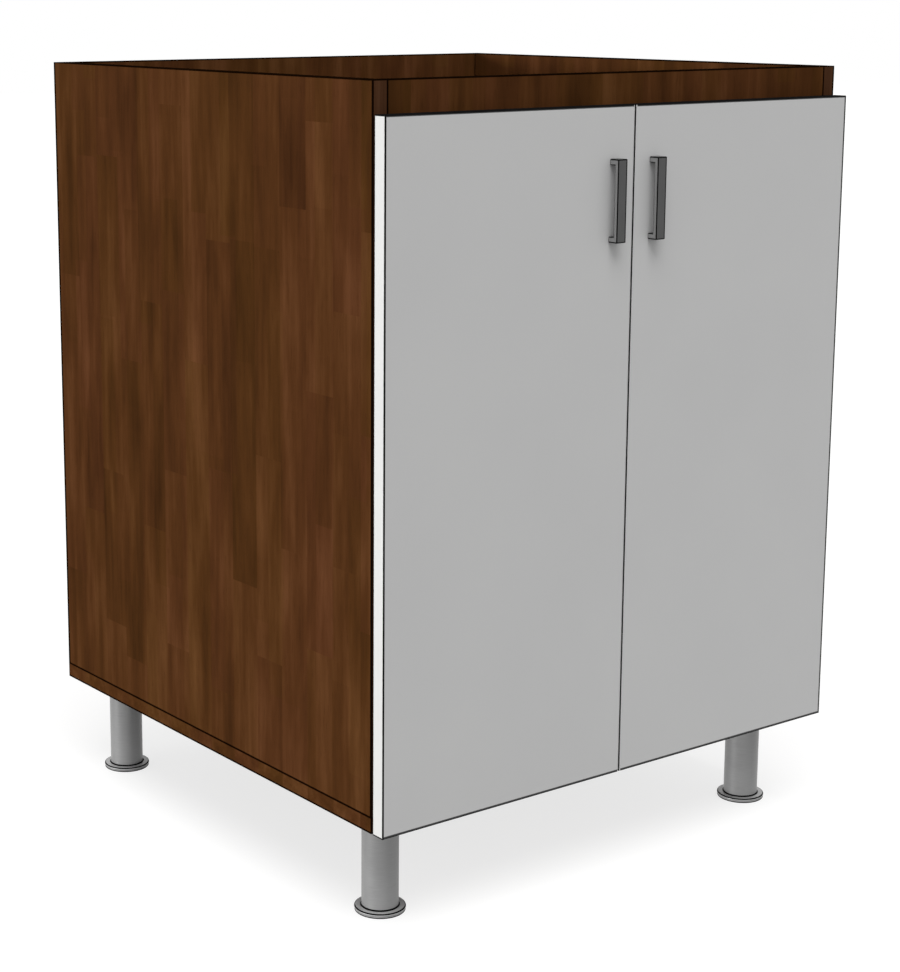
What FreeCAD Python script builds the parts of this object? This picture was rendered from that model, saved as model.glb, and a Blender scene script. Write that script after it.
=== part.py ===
import FreeCAD, Part

import os
import re

import Sketcher
from FreeCAD import Placement, Rotation, Vector

# Sink base cabinet: open-topped board carcass on four levelling legs, closed
# by two full-overlay doors on concealed single-pin cup hinges.
# +Z is up, the doors face -Y, and the origin is on the floor under the
# centre of the whole object's box.

SHEET_LABEL = "Sizes"

SIZES = {
    # carcass
    "cabinet_width": 600,
    "carcass_depth": 580,
    "carcass_height": 700,
    "board": 16,
    "band": 1,
    "rail_height": 70,
    # doors
    "door_thickness": 16,
    "door_standoff": 2,
    "door_top_reveal": 30,
    "door_gap": 2,
    "door_edge_radius": 0.9,
    "bumper_radius": 4,
    "bumper_thickness": 1.9,
    "bumper_inset": 10,
    # pulls
    "pull_length": 80,
    "pull_width": 12,
    "pull_projection": 12,
    "pull_bar": 5,
    "pull_foot": 6,
    "pull_below_top": 50,
    "pull_offset": 26,
    "pull_edge_radius": 0.6,
    # hinges, measured from the door's hinged edge and from the carcass front
    "hinge_inset": 100,
    "pin_from_edge": 6.5,
    "pin_before_front": 11.7,
    "pin_radius": 1.2,
    "pin_length": 17.2,
    "pin_clearance": 0.05,
    "cup_radius": 17.4,
    "cup_depth": 12.5,
    "cup_from_edge": 20.3,
    "cup_wall": 1,
    "cup_floor": 0.6,
    "cup_bore_clearance": 0.1,
    "cup_slot_width": 10,
    "cup_slot_reach": 2.25,
    "cup_cheek_reach": 4.5,
    "flange_thickness": 0.8,
    "flange_length": 58,
    "flange_width": 12,
    "flange_corner": 5,
    "flange_offset": 6,
    # hinge arm and its mounting plate
    "arm_sheet": 2.4,
    "arm_neck_width": 9.4,
    "arm_barrel_radius": 2,
    "arm_neck_clearance": 3.4,
    "arm_height": 12,
    "arm_web": 2,
    "arm_start": 16,
    "arm_end": 58,
    "arm_channel_width": 16,
    "arm_channel_inside": 12.4,
    "arm_channel_foot": 2.6,
    "arm_channel_radius": 1,
    "arm_bend_radius": 2,
    "plate_thickness": 2,
    "plate_wing_length": 46,
    "plate_wing_width": 12,
    "plate_body_width": 18,
    "plate_start": 18,
    "plate_end": 56,
    "plate_corner": 4,
    "plate_rib_width": 11.6,
    "plate_rib_start": 22,
    "plate_rib_end": 54,
    "plate_line": 37,
    # legs
    "leg_height": 105,
    "leg_from_side": 48,
    "leg_from_front": 49,
    "leg_from_back": 45,
    "leg_plate_radius": 30,
    "leg_plate_thickness": 2.5,
    "tube_radius": 18.3,
    "tube_wall": 1.5,
    "foot_radius": 25.4,
    "foot_thickness": 5,
    "foot_gap": 0.2,
    "stem_radius": 5,
    "stem_length": 55,
    "stem_clearance": 0.05,
    "nut_recess": 4,
    "nut_height": 16,
}

document = FreeCAD.newDocument("SinkBaseCabinet")


def write_sheet():
    """Write every driving dimension as a plain number with its own alias."""
    table = document.addObject("Spreadsheet::Sheet", SHEET_LABEL)
    for row, (alias, value) in enumerate(SIZES.items(), start=1):
        table.set(f"A{row}", alias.replace("_", " "))
        table.set(f"B{row}", str(value))
        table.setAlias(f"B{row}", alias)
    document.recompute()
    return table


sheet = write_sheet()
ALIAS = re.compile(r"\b(" + "|".join(SIZES) + r")\b")

# Planes that several pieces share, written in the sheet's aliases.
FRONT = "(-(carcass_depth + door_standoff + door_thickness + pull_projection) / 2" \
        " + door_standoff + door_thickness + pull_projection)"
BACK = f"({FRONT} + carcass_depth)"
TOP = "(leg_height + carcass_height)"
FLOOR_TOP = "(leg_height + board)"
INSIDE = "(cabinet_width / 2 - board)"
DOOR_BACK = f"({FRONT} - door_standoff)"
DOOR_FRONT = f"({DOOR_BACK} - door_thickness)"
DOOR_HEIGHT = "(carcass_height - door_top_reveal)"
DOOR_WIDTH = "((cabinet_width - door_gap) / 2)"

# In a hinge's own frame the pin is the origin, x runs from the door's hinged
# edge to the inside of the cabinet, y runs to the back and z is the pin's axis.
HINGE_DOOR_BACK = "(pin_before_front - door_standoff)"
HINGE_CUP_CENTRE = "(cup_from_edge - pin_from_edge)"
HINGE_SIDE = "(board - pin_from_edge)"
HINGE_FLANGE_TOP = f"({HINGE_DOOR_BACK} + flange_thickness)"
HINGE_FLANGE_LINE = f"({HINGE_CUP_CENTRE} + flange_offset)"
HINGE_WEB = f"({HINGE_SIDE} + arm_height)"
HINGE_PLATE_LINE = "(plate_line + pin_before_front)"

LEFT, RIGHT = -1, 1
SIDES = {"left": LEFT, "right": RIGHT}
HINGE_LEVELS = {
    "lower": "(leg_height + hinge_inset)",
    "upper": f"(leg_height + {DOOR_HEIGHT} - hinge_inset)",
}
LEG_LINES = {
    "front": f"({FRONT} + leg_from_front)",
    "back": f"({BACK} - leg_from_back)",
}
LEG_SPREAD = "(cabinet_width / 2 - leg_from_side)"

# Lengths closer than this, in mm, are the same, and so are directions this near.
SAME_LENGTH = 1e-3
SAME_DIRECTION = 1e-6

nodes = []


# ---- helpers ---------------------------------------------------------------

def qualify(expression):
    """Spell out the sheet in front of every alias in an expression."""
    return ALIAS.sub(SHEET_LABEL + r".\1", str(expression))


def bind(target, name, expression):
    """Tie a property to an expression in the sheet's aliases."""
    target.setExpression(name, qualify(expression))


def amount(expression):
    """Present value of an expression in the sheet's aliases."""
    return float(sheet.evalExpression(qualify(expression)))


def place(target, x="0", y="0", z="0", turn=None):
    """Put an object at a bound position, with a fixed rotation."""
    target.Placement = Placement(Vector(), turn or Rotation())
    for axis, expression in zip("xyz", (x, y, z)):
        bind(target, f"Placement.Base.{axis}", expression)
    return target


def keep(target, label):
    """Mark an object as a sub-part that gets a file of its own."""
    target.Label = label
    nodes.append(target)
    return target


def box(name, corner, size):
    """Board or strip from its low corner and its three sizes."""
    solid = document.addObject("Part::Box", name)
    for edge, expression in zip(("Length", "Width", "Height"), size):
        bind(solid, edge, expression)
    return place(solid, *corner)


def cylinder(name, radius, length, at=("0", "0", "0"), turn=None):
    """Round bar that starts at a point and runs along its turned z axis."""
    solid = document.addObject("Part::Cylinder", name)
    bind(solid, "Radius", radius)
    bind(solid, "Height", length)
    return place(solid, *at, turn)


def group(name, pieces):
    """Identical small pieces kept together as separate solids."""
    gathered = document.addObject("Part::Compound", name)
    gathered.Links = pieces
    return gathered


def cut(name, base, tools):
    """Base piece with the room for other pieces taken out of it."""
    pierced = document.addObject("Part::Cut", name)
    pierced.Base = base
    pierced.Tool = tools[0] if len(tools) == 1 else group(f"{name}_room", tools)
    return pierced


def new_body(name):
    """Empty body for a machined, cast or turned piece."""
    return document.addObject("PartDesign::Body", name)


def sketch_on(body, name, role, offset="0"):
    """Sketch on one of the body's own origin planes, moved along its normal."""
    plane = next(part for part in body.Origin.OriginFeatures if part.Role == role)
    sketch = body.newObject("Sketcher::SketchObject", name)
    sketch.AttachmentSupport = [(plane, "")]
    sketch.MapMode = "FlatFace"
    bind(sketch, "AttachmentOffset.Base.z", offset)
    return sketch


def pin_point(sketch, geometry, point, x, y):
    """Hold one sketch point at a bound distance from the sketch's origin."""
    for kind, expression in (("DistanceX", x), ("DistanceY", y)):
        index = sketch.addConstraint(
            Sketcher.Constraint(kind, -1, 1, geometry, point, amount(expression)))
        bind(sketch, f"Constraints[{index}]", expression)


def outline(sketch, corners):
    """Closed outline of straight lines through bound corner points."""
    spots = [Vector(amount(x), amount(y), 0) for x, y in corners]
    first = sketch.GeometryCount
    for start, end in zip(spots, spots[1:] + spots[:1]):
        sketch.addGeometry(Part.LineSegment(start, end), False)
    for index, (x, y) in enumerate(corners):
        previous = first + (index - 1) % len(corners)
        sketch.addConstraint(
            Sketcher.Constraint("Coincident", previous, 2, first + index, 1))
        pin_point(sketch, first + index, 1, x, y)


def rectangle(sketch, low, high):
    """Upright rectangle between two bound corners."""
    (x0, y0), (x1, y1) = low, high
    outline(sketch, [(x0, y0), (x1, y0), (x1, y1), (x0, y1)])


def circle(sketch, radius, x="0", y="0"):
    """Circle of a bound radius about a bound centre."""
    centre = Vector(amount(x), amount(y), 0)
    index = sketch.addGeometry(Part.Circle(centre, Vector(0, 0, 1), amount(radius)), False)
    pin_point(sketch, index, 3, x, y)
    rule = sketch.addConstraint(Sketcher.Constraint("Radius", index, amount(radius)))
    bind(sketch, f"Constraints[{rule}]", radius)


def pad(body, sketch, length, backwards=False, both_ways=False):
    """Grow the body from a sketch."""
    feature = body.newObject("PartDesign::Pad", f"{sketch.Name}_pad")
    feature.Profile = sketch
    feature.SideType = "Symmetric" if both_ways else "One side"
    feature.Reversed = backwards
    bind(feature, "Length", length)
    sketch.Visibility = False
    document.recompute()
    return feature


def pocket(body, sketch, depth, backwards=False, both_ways=False):
    """Cut the body from a sketch and make sure that it took material away."""
    before = body.Shape.Volume
    feature = body.newObject("PartDesign::Pocket", f"{sketch.Name}_pocket")
    feature.Profile = sketch
    feature.SideType = "Symmetric" if both_ways else "One side"
    feature.Reversed = backwards
    bind(feature, "Length", depth)
    sketch.Visibility = False
    document.recompute()
    if not body.Shape.Volume < before - SAME_LENGTH:
        raise RuntimeError(f"{feature.Name} cuts nothing")
    return feature


def turned(body, sketch):
    """Turn a profile of radius and height about the body's z axis."""
    feature = body.newObject("PartDesign::Revolution", f"{sketch.Name}_turned")
    feature.Profile = sketch
    feature.ReferenceAxis = (sketch, ["V_Axis"])
    feature.Angle = 360
    document.recompute()
    return feature


def round_edges(body, name, radius, chosen):
    """Round the edges of the body's present shape that a test picks out."""
    base = body.Tip
    names = [f"Edge{number}" for number, edge in enumerate(base.Shape.Edges, start=1)
             if chosen(edge)]
    feature = body.newObject("PartDesign::Fillet", name)
    feature.Base = (base, names)
    bind(feature, "Radius", radius)
    document.recompute()
    return feature


def runs_along(edge, axis):
    """Whether a straight edge is parallel to an axis."""
    if edge.Curve.TypeId != "Part::GeomLine":
        return False
    return abs(abs(edge.tangentAt(edge.FirstParameter).dot(axis)) - 1) < SAME_DIRECTION


X_AXIS, Y_AXIS, Z_AXIS = Vector(1, 0, 0), Vector(0, 1, 0), Vector(0, 0, 1)
FACING_BACK = Rotation(Z_AXIS, Y_AXIS)
FACING_FRONT = Rotation(Z_AXIS, Y_AXIS * -1)


def hinge_turn(side):
    """Rotation of a hinge, which fits either side of the cabinet."""
    return Rotation() if side == LEFT else Rotation(Y_AXIS, 180)


def hinge_point(side, level, x="0", y="0", z="0"):
    """Cabinet position of a point given in a hinge's own frame."""
    return (
        f"{side} * (cabinet_width / 2 - pin_from_edge - ({x}))",
        f"{FRONT} - pin_before_front + ({y})",
        f"{level} - {side} * ({z})",
    )


# ---- hinges --------------------------------------------------------------------

def hinge_cup(name, side, level):
    """Cast cup with its flange, bearing cheeks and the slot for the arm's barrel."""
    body = new_body(name)
    wall = sketch_on(body, f"{name}_wall", "XZ_Plane", f"-{HINGE_DOOR_BACK}")
    circle(wall, "cup_radius", HINGE_CUP_CENTRE)
    pad(body, wall, "cup_depth")

    wings = sketch_on(body, f"{name}_wings", "XZ_Plane", f"-{HINGE_DOOR_BACK}")
    rectangle(wings,
              (f"{HINGE_FLANGE_LINE} - flange_width / 2", "-flange_length / 2"),
              (f"{HINGE_FLANGE_LINE} + flange_width / 2", "flange_length / 2"))
    pad(body, wings, "flange_thickness", backwards=True)
    reach = amount("flange_length") / 2
    round_edges(body, f"{name}_corners", "flange_corner",
                lambda edge: runs_along(edge, Y_AXIS)
                and abs(abs(edge.CenterOfMass.z) - reach) < SAME_LENGTH)

    rim = sketch_on(body, f"{name}_rim", "XZ_Plane", f"-{HINGE_DOOR_BACK}")
    circle(rim, "cup_radius", HINGE_CUP_CENTRE)
    pad(body, rim, "flange_thickness", backwards=True)

    depth = "flange_thickness + cup_depth - cup_floor"
    slot = sketch_on(body, f"{name}_slot", "XZ_Plane", f"-{HINGE_FLANGE_TOP}")
    rectangle(slot, ("-cup_slot_reach", "-cup_slot_width / 2"),
              (HINGE_CUP_CENTRE, "cup_slot_width / 2"))
    pocket(body, slot, depth, backwards=True)
    room = sketch_on(body, f"{name}_room", "XZ_Plane", f"-{HINGE_FLANGE_TOP}")
    cheek_outline(room)
    pocket(body, room, depth, backwards=True)

    bearing = sketch_on(body, f"{name}_bearing", "XY_Plane")
    circle(bearing, "pin_radius")
    pocket(body, bearing, "pin_length", both_ways=True)
    return place(body, *hinge_point(side, level), hinge_turn(side))


def cheek_outline(sketch):
    """Inside of the cup from its far wall to the flat faces of the pin's cheeks."""
    inner = amount("cup_radius - cup_wall")
    chord = amount(f"cup_cheek_reach - {HINGE_CUP_CENTRE}")
    half_chord = (inner ** 2 - chord ** 2) ** 0.5
    centre = Vector(amount(HINGE_CUP_CENTRE), 0, 0)
    low, high = (centre + Vector(chord, sign * half_chord, 0) for sign in (-1, 1))
    arc = sketch.addGeometry(Part.Arc(low, centre + Vector(inner, 0, 0), high), False)
    line = sketch.addGeometry(Part.LineSegment(high, low), False)
    sketch.addConstraint(Sketcher.Constraint("Coincident", arc, 2, line, 1))
    sketch.addConstraint(Sketcher.Constraint("Coincident", arc, 1, line, 2))
    sketch.addConstraint(Sketcher.Constraint("Vertical", line))
    pin_point(sketch, arc, 3, HINGE_CUP_CENTRE, "0")
    radius = sketch.addConstraint(Sketcher.Constraint("Radius", arc, inner))
    bind(sketch, f"Constraints[{radius}]", "cup_radius - cup_wall")
    edge = sketch.addConstraint(Sketcher.Constraint(
        "DistanceX", -1, 1, line, 1, amount("cup_cheek_reach")))
    bind(sketch, f"Constraints[{edge}]", "cup_cheek_reach")


def hinge_cups(word, side):
    """Both cups of one door."""
    cups = [hinge_cup(f"hinge_cup_{word}_{height}", side, level)
            for height, level in HINGE_LEVELS.items()]
    return keep(group(f"hinge_cup_set_{word}", cups), f"hinge_cups_{word}")


def hinge_arm(name, side, level):
    """Goose-necked arm: barrel in the cup, neck round the door edge, channel body."""
    body = new_body(name)
    barrel = sketch_on(body, f"{name}_barrel", "XY_Plane")
    circle(barrel, "arm_barrel_radius")
    pad(body, barrel, "arm_neck_width", both_ways=True)

    neck = sketch_on(body, f"{name}_neck", "XY_Plane")
    half = "arm_sheet / 2"
    left = f"({HINGE_SIDE} + arm_neck_clearance)"
    web_back, web_face = f"({HINGE_WEB} - arm_web)", HINGE_WEB
    step = "(pin_before_front + arm_start / 2)"
    start = "(pin_before_front + arm_start)"
    outline(neck, [
        ("0", f"-{half}"),
        (f"{left} + arm_sheet", f"-{half}"),
        (f"{left} + arm_sheet", f"{step} - {half}"),
        (web_face, f"{start} - {half}"),
        (web_face, f"{start} + {half}"),
        (web_back, f"{start} + {half}"),
        (left, f"{step} + {half}"),
        (left, half),
        ("0", half),
    ])
    pad(body, neck, "arm_neck_width", both_ways=True)
    inner_corner = (amount(left), amount(half))
    outer_corner = (amount(f"{left} + arm_sheet"), amount(f"-{half}"))

    def is_corner(edge, corner):
        middle = edge.CenterOfMass
        return (runs_along(edge, Z_AXIS) and abs(middle.x - corner[0]) < SAME_LENGTH
                and abs(middle.y - corner[1]) < SAME_LENGTH)

    round_edges(body, f"{name}_inner_bend", "arm_bend_radius",
                lambda edge: is_corner(edge, inner_corner))
    round_edges(body, f"{name}_outer_bend", "arm_bend_radius + arm_sheet / 2",
                lambda edge: is_corner(edge, outer_corner))

    channel = sketch_on(body, f"{name}_channel", "XZ_Plane", f"-{start}")
    foot = f"({HINGE_SIDE} + arm_channel_foot)"
    outer, inside = "arm_channel_width / 2", "arm_channel_inside / 2"
    outline(channel, [
        (foot, f"-{outer}"), (web_face, f"-{outer}"), (web_face, outer), (foot, outer),
        (foot, inside), (web_back, inside), (web_back, f"-{inside}"), (foot, f"-{inside}"),
    ])
    pad(body, channel, "arm_end - arm_start", backwards=True)
    web_edge, face = amount(outer), amount(web_face)
    round_edges(body, f"{name}_channel_edges", "arm_channel_radius",
                lambda edge: runs_along(edge, Y_AXIS)
                and abs(abs(edge.CenterOfMass.z) - web_edge) < SAME_LENGTH
                and abs(edge.CenterOfMass.x - face) < SAME_LENGTH)

    bore = sketch_on(body, f"{name}_bore", "XY_Plane")
    circle(bore, "pin_radius + pin_clearance")
    pocket(body, bore, "2 * arm_neck_width", both_ways=True)
    return keep(place(body, *hinge_point(side, level), hinge_turn(side)), name)


def hinge_plate(name, side, level):
    """Cross-shaped mounting plate with the rib that the arm sits over."""
    body = new_body(name)
    base = sketch_on(body, f"{name}_base", "YZ_Plane", HINGE_SIDE)
    low, high = "(pin_before_front + plate_start)", "(pin_before_front + plate_end)"
    wing_low = f"({HINGE_PLATE_LINE} - plate_wing_width / 2)"
    wing_high = f"({HINGE_PLATE_LINE} + plate_wing_width / 2)"
    half, reach = "plate_body_width / 2", "plate_wing_length / 2"
    tip_low, tip_high = f"{wing_low} + plate_corner", f"{wing_high} - plate_corner"
    upper = [
        (high, half), (wing_high, half), (wing_high, f"{reach} - plate_corner"),
        (tip_high, reach), (tip_low, reach), (wing_low, f"{reach} - plate_corner"),
        (wing_low, half), (low, half),
    ]
    lower = [(y, f"-({z})") for y, z in reversed(upper)]
    outline(base, upper + lower)
    pad(body, base, "plate_thickness")
    rib = sketch_on(body, f"{name}_rib", "YZ_Plane", HINGE_SIDE)
    rectangle(rib, ("pin_before_front + plate_rib_start", "-plate_rib_width / 2"),
              ("pin_before_front + plate_rib_end", "plate_rib_width / 2"))
    pad(body, rib, "arm_height - arm_web")
    return keep(place(body, *hinge_point(side, level), hinge_turn(side)), name)


def hinge_pins(word, side):
    """Steel pins pressed into the cheeks of both cups of one door."""
    pins = [cylinder(f"hinge_pin_{word}_{height}", "pin_radius", "pin_length",
                     hinge_point(side, level, z=f"{side} * pin_length / 2"))
            for height, level in HINGE_LEVELS.items()]
    return keep(group(f"hinge_pin_set_{word}", pins), f"hinge_pins_{word}")


# ---- legs ------------------------------------------------------------------------

def leg_spots(row):
    """Name and floor position of the two legs of a row."""
    return {f"{row}_{word}": (f"{side} * {LEG_SPREAD}", LEG_LINES[row])
            for word, side in SIDES.items()}


def leg_tubes(row, spots):
    """Pair of round steel tubes between the levelling feet and the fixing plates."""
    tubes = []
    for word, spot in spots.items():
        body = new_body(f"leg_tube_{word}")
        ring = sketch_on(body, f"leg_tube_{word}_ring", "XZ_Plane")
        rectangle(ring, ("tube_radius - tube_wall", "foot_thickness + foot_gap"),
                  ("tube_radius", "leg_height - leg_plate_thickness"))
        turned(body, ring)
        tubes.append(place(body, *spot))
    return keep(group(f"leg_tube_pair_{row}", tubes), f"leg_tubes_{row}")


def leg_plates(spots):
    """Round fixing plates that hold the tubes under the bottom panel."""
    discs = [cylinder(f"leg_plate_{word}", "leg_plate_radius", "leg_plate_thickness",
                      (x, y, "leg_height - leg_plate_thickness"))
             for word, (x, y) in spots.items()]
    return keep(group("leg_plate_set", discs), "leg_plates")


def levelling_foot(name, spot):
    """Foot disc with the threaded stem that screws up into the leg."""
    body = new_body(name)
    profile = sketch_on(body, f"{name}_profile", "XZ_Plane")
    outline(profile, [
        ("0", "0"), ("foot_radius", "0"), ("foot_radius", "foot_thickness"),
        ("stem_radius", "foot_thickness"),
        ("stem_radius", "foot_thickness + stem_length"),
        ("0", "foot_thickness + stem_length"),
    ])
    turned(body, profile)
    return keep(place(body, *spot), name)


def leg_nuts(spots):
    """Threaded plugs pressed into the lower ends of the tubes."""
    plugs = []
    height = "foot_thickness + foot_gap + nut_recess"
    for word, (x, y) in spots.items():
        plug = cylinder(f"leg_nut_{word}_plug", "tube_radius - tube_wall",
                        "nut_height", (x, y, height))
        thread = cylinder(f"leg_nut_{word}_thread", "stem_radius + stem_clearance",
                          "nut_height", (x, y, height))
        plugs.append(cut(f"leg_nut_{word}", plug, [thread]))
    return keep(group("leg_nut_set", plugs), "leg_nuts")


# ---- carcass boards ----------------------------------------------------------------

def side_low_x(side):
    """Low x face of a side panel."""
    return INSIDE if side == RIGHT else f"-{INSIDE} - board"


def carcass_boards():
    """Side, bottom and back boards and the front rail, behind their edge bands."""
    standing = "carcass_height - board"
    for word, side in SIDES.items():
        keep(box(f"side_board_{word}", (side_low_x(side), f"{FRONT} + band", FLOOR_TOP),
                 ("board", "carcass_depth - band", standing)), f"side_panel_{word}")
    keep(box("bottom_board",
             ("-cabinet_width / 2 + band", f"{FRONT} + band", "leg_height"),
             ("cabinet_width - 2 * band", "carcass_depth - band", "board")),
         "bottom_panel")
    keep(box("back_board", (f"-{INSIDE}", f"{BACK} - board", FLOOR_TOP),
             (f"2 * {INSIDE}", "board", standing)), "back_panel")
    keep(box("rail_board", (f"-{INSIDE}", FRONT, f"{TOP} - rail_height + band"),
             (f"2 * {INSIDE}", "board", "rail_height - band")), "front_rail")


def carcass_bands():
    """Edge bands on the board edges that show."""
    for word, side in SIDES.items():
        keep(box(f"side_band_{word}", (side_low_x(side), FRONT, FLOOR_TOP),
                 ("board", "band", "carcass_height - board")), f"side_edge_band_{word}")
    strips = [box("bottom_band_front", ("-cabinet_width / 2", FRONT, "leg_height"),
                  ("cabinet_width", "band", "board"))]
    for word, side in SIDES.items():
        low = "cabinet_width / 2 - band" if side == RIGHT else "-cabinet_width / 2"
        strips.append(box(f"bottom_band_{word}", (low, f"{FRONT} + band", "leg_height"),
                          ("band", "carcass_depth - band", "board")))
    keep(group("bottom_band_set", strips), "bottom_edge_bands")
    keep(box("rail_band", (f"-{INSIDE}", FRONT, f"{TOP} - rail_height"),
             (f"2 * {INSIDE}", "board", "band")), "rail_edge_band")


# ---- doors ---------------------------------------------------------------------------

def door_low_x(side):
    """Low x edge of a door."""
    return "door_gap / 2" if side == RIGHT else "-cabinet_width / 2"


def pull_height():
    """Height of the middle of the pulls."""
    return f"({TOP} - door_top_reveal - pull_below_top - pull_length / 2)"


def door_panel(word, side):
    """Faced door board inside its ring of edge band, bored for the hinge cups."""
    blank = box(f"door_blank_{word}",
                (f"{door_low_x(side)} + band", DOOR_FRONT, "leg_height + band"),
                (f"{DOOR_WIDTH} - 2 * band", "door_thickness", f"{DOOR_HEIGHT} - 2 * band"))
    bores = [cylinder(f"cup_bore_{word}_{height}", "cup_radius + cup_bore_clearance",
                      "cup_depth + cup_bore_clearance",
                      hinge_point(side, level, HINGE_CUP_CENTRE, HINGE_DOOR_BACK),
                      FACING_FRONT)
             for height, level in HINGE_LEVELS.items()]
    return keep(cut(f"door_cut_{word}", blank, bores), f"door_panel_{word}")


def door_band(word, side):
    """Edge band round all four edges of a door, with softened corners."""
    name = f"door_edge_band_{word}"
    body = new_body(name)
    ring = sketch_on(body, f"{name}_ring", "XZ_Plane")
    rectangle(ring, ("0", "0"), (DOOR_WIDTH, DOOR_HEIGHT))
    rectangle(ring, ("band", "band"), (f"{DOOR_WIDTH} - band", f"{DOOR_HEIGHT} - band"))
    pad(body, ring, "door_thickness")
    wide, high = amount(DOOR_WIDTH), amount(DOOR_HEIGHT)

    def on_outline(edge):
        middle = edge.CenterOfMass
        return (min(abs(middle.x), abs(middle.x - wide)) < SAME_LENGTH
                or min(abs(middle.z), abs(middle.z - high)) < SAME_LENGTH)

    round_edges(body, f"{name}_soft", "door_edge_radius",
                lambda edge: on_outline(edge) and not runs_along(edge, Y_AXIS))
    return keep(place(body, door_low_x(side), DOOR_BACK, "leg_height"), name)


def pull(word, side):
    """Flat-bar pull with its two ends turned back to the door."""
    name = f"pull_{word}"
    body = new_body(name)
    bar = sketch_on(body, f"{name}_bar", "YZ_Plane")
    tip, root = "pull_length / 2", "(pull_length / 2 - pull_foot)"
    inner, outer = "-(pull_projection - pull_bar)", "-pull_projection"
    outline(bar, [
        ("0", f"-{tip}"), (outer, f"-{tip}"), (outer, tip), ("0", tip),
        ("0", root), (inner, root), (inner, f"-{root}"), ("0", f"-{root}"),
    ])
    pad(body, bar, "pull_width", both_ways=True)
    edge_line = amount(outer)
    round_edges(body, f"{name}_soft", "pull_edge_radius",
                lambda edge: abs(edge.CenterOfMass.y - edge_line) < SAME_LENGTH)
    return keep(place(body, f"{side} * pull_offset", DOOR_FRONT, pull_height()), name)


def bumpers(word, side):
    """Soft buffers that a closed door rests on."""
    buttons = []
    for height in ("leg_height + board / 2",
                   f"{TOP} - door_top_reveal - bumper_inset"):
        buttons.append(cylinder(
            f"bumper_{word}_{len(buttons)}", "bumper_radius", "bumper_thickness",
            (f"{side} * (door_gap / 2 + bumper_inset)", DOOR_BACK, height), FACING_BACK))
    return keep(group(f"bumper_set_{word}", buttons), f"door_bumpers_{word}")


# ---- assembly --------------------------------------------------------------------------

def build():
    """Model every sub-part of the cabinet."""
    carcass_boards()
    carcass_bands()
    for word, side in SIDES.items():
        door_panel(word, side)
        door_band(word, side)
        pull(word, side)
        bumpers(word, side)
        hinge_cups(word, side)
        hinge_pins(word, side)
        for height, level in HINGE_LEVELS.items():
            hinge_arm(f"hinge_arm_{word}_{height}", side, level)
            hinge_plate(f"hinge_plate_{word}_{height}", side, level)
    for row in LEG_LINES:
        leg_tubes(row, leg_spots(row))
        for word, spot in leg_spots(row).items():
            levelling_foot(f"leg_foot_{word}", spot)
    every_spot = {word: spot for row in LEG_LINES for word, spot in leg_spots(row).items()}
    leg_plates(every_spot)
    leg_nuts(every_spot)


def check():
    """Stop on any failed object or any sub-part without a sound shape."""
    document.recompute()
    for item in document.Objects:
        if {"Invalid", "Error"} & set(item.State):
            raise RuntimeError(f"{item.Name} failed: {item.State}")
    for node in nodes:
        if node.Shape.isNull() or not node.Shape.isValid() or not node.Shape.Solids:
            raise RuntimeError(f"{node.Label} has no sound shape")


def write():
    """Write one file per sub-part."""
    os.makedirs("parts", exist_ok=True)
    for node in nodes:
        node.Shape.exportStep(os.path.join("parts", f"{node.Label}.step"))
        size = node.Shape.BoundBox
        print(f"{node.Label}: {len(node.Shape.Solids)} solid(s), "
              f"{size.XLength:.1f} x {size.YLength:.1f} x {size.ZLength:.1f} mm")
    print(f"{len(nodes)} sub-parts")


build()
check()
write()
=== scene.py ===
"""Looks of a sink base cabinet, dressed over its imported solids."""

import logging
import math
from abc import ABC, abstractmethod
from collections.abc import Iterable, Sequence
from dataclasses import dataclass, replace
from enum import Enum

import bmesh
import bpy
from mathutils import Matrix, Vector


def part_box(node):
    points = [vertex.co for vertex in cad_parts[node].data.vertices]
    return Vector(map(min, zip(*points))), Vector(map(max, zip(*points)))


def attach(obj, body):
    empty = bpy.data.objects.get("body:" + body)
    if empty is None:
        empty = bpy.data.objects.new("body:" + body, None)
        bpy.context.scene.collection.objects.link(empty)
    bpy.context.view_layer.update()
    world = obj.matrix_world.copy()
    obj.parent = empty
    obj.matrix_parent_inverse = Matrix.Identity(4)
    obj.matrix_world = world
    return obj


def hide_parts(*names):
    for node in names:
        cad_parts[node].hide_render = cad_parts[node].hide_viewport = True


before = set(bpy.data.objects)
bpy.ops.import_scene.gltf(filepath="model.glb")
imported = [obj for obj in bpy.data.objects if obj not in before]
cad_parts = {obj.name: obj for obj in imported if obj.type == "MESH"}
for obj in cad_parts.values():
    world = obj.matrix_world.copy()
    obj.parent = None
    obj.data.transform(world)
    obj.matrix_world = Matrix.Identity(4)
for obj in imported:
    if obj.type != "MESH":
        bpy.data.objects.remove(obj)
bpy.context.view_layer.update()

log = logging.getLogger("sink_base_cabinet")

MM = 0.001
IMAGE_WIDTH, IMAGE_HEIGHT = 900, 972
SENSOR = 36.0

# Share of an arris line's width that is fully dark.
SOLID_LINE = 0.6
# Shares of a face's normal along an axis between which its look changes over.
HALF_TURNED, MOSTLY_TURNED = (0.4, 0.6), (0.6, 0.8)
# Roughness of dark lines and of sealed edges.
DULL_LINE = 0.95
# Slack for rounding when heights of mesh faces are compared.
SLACK = 0.01 * MM

Socket = bpy.types.NodeSocket
Material = bpy.types.Material
Mesh = bpy.types.Mesh
Shape = bmesh.types.BMesh
Colour = tuple[float, float, float, float]
Point = tuple[float, float, float]
# Cells per metre of a noise, then its detail and roughness where they aren't the usual.
Texture = tuple[float, ...]
Input = float | Sequence[float] | Socket


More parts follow.
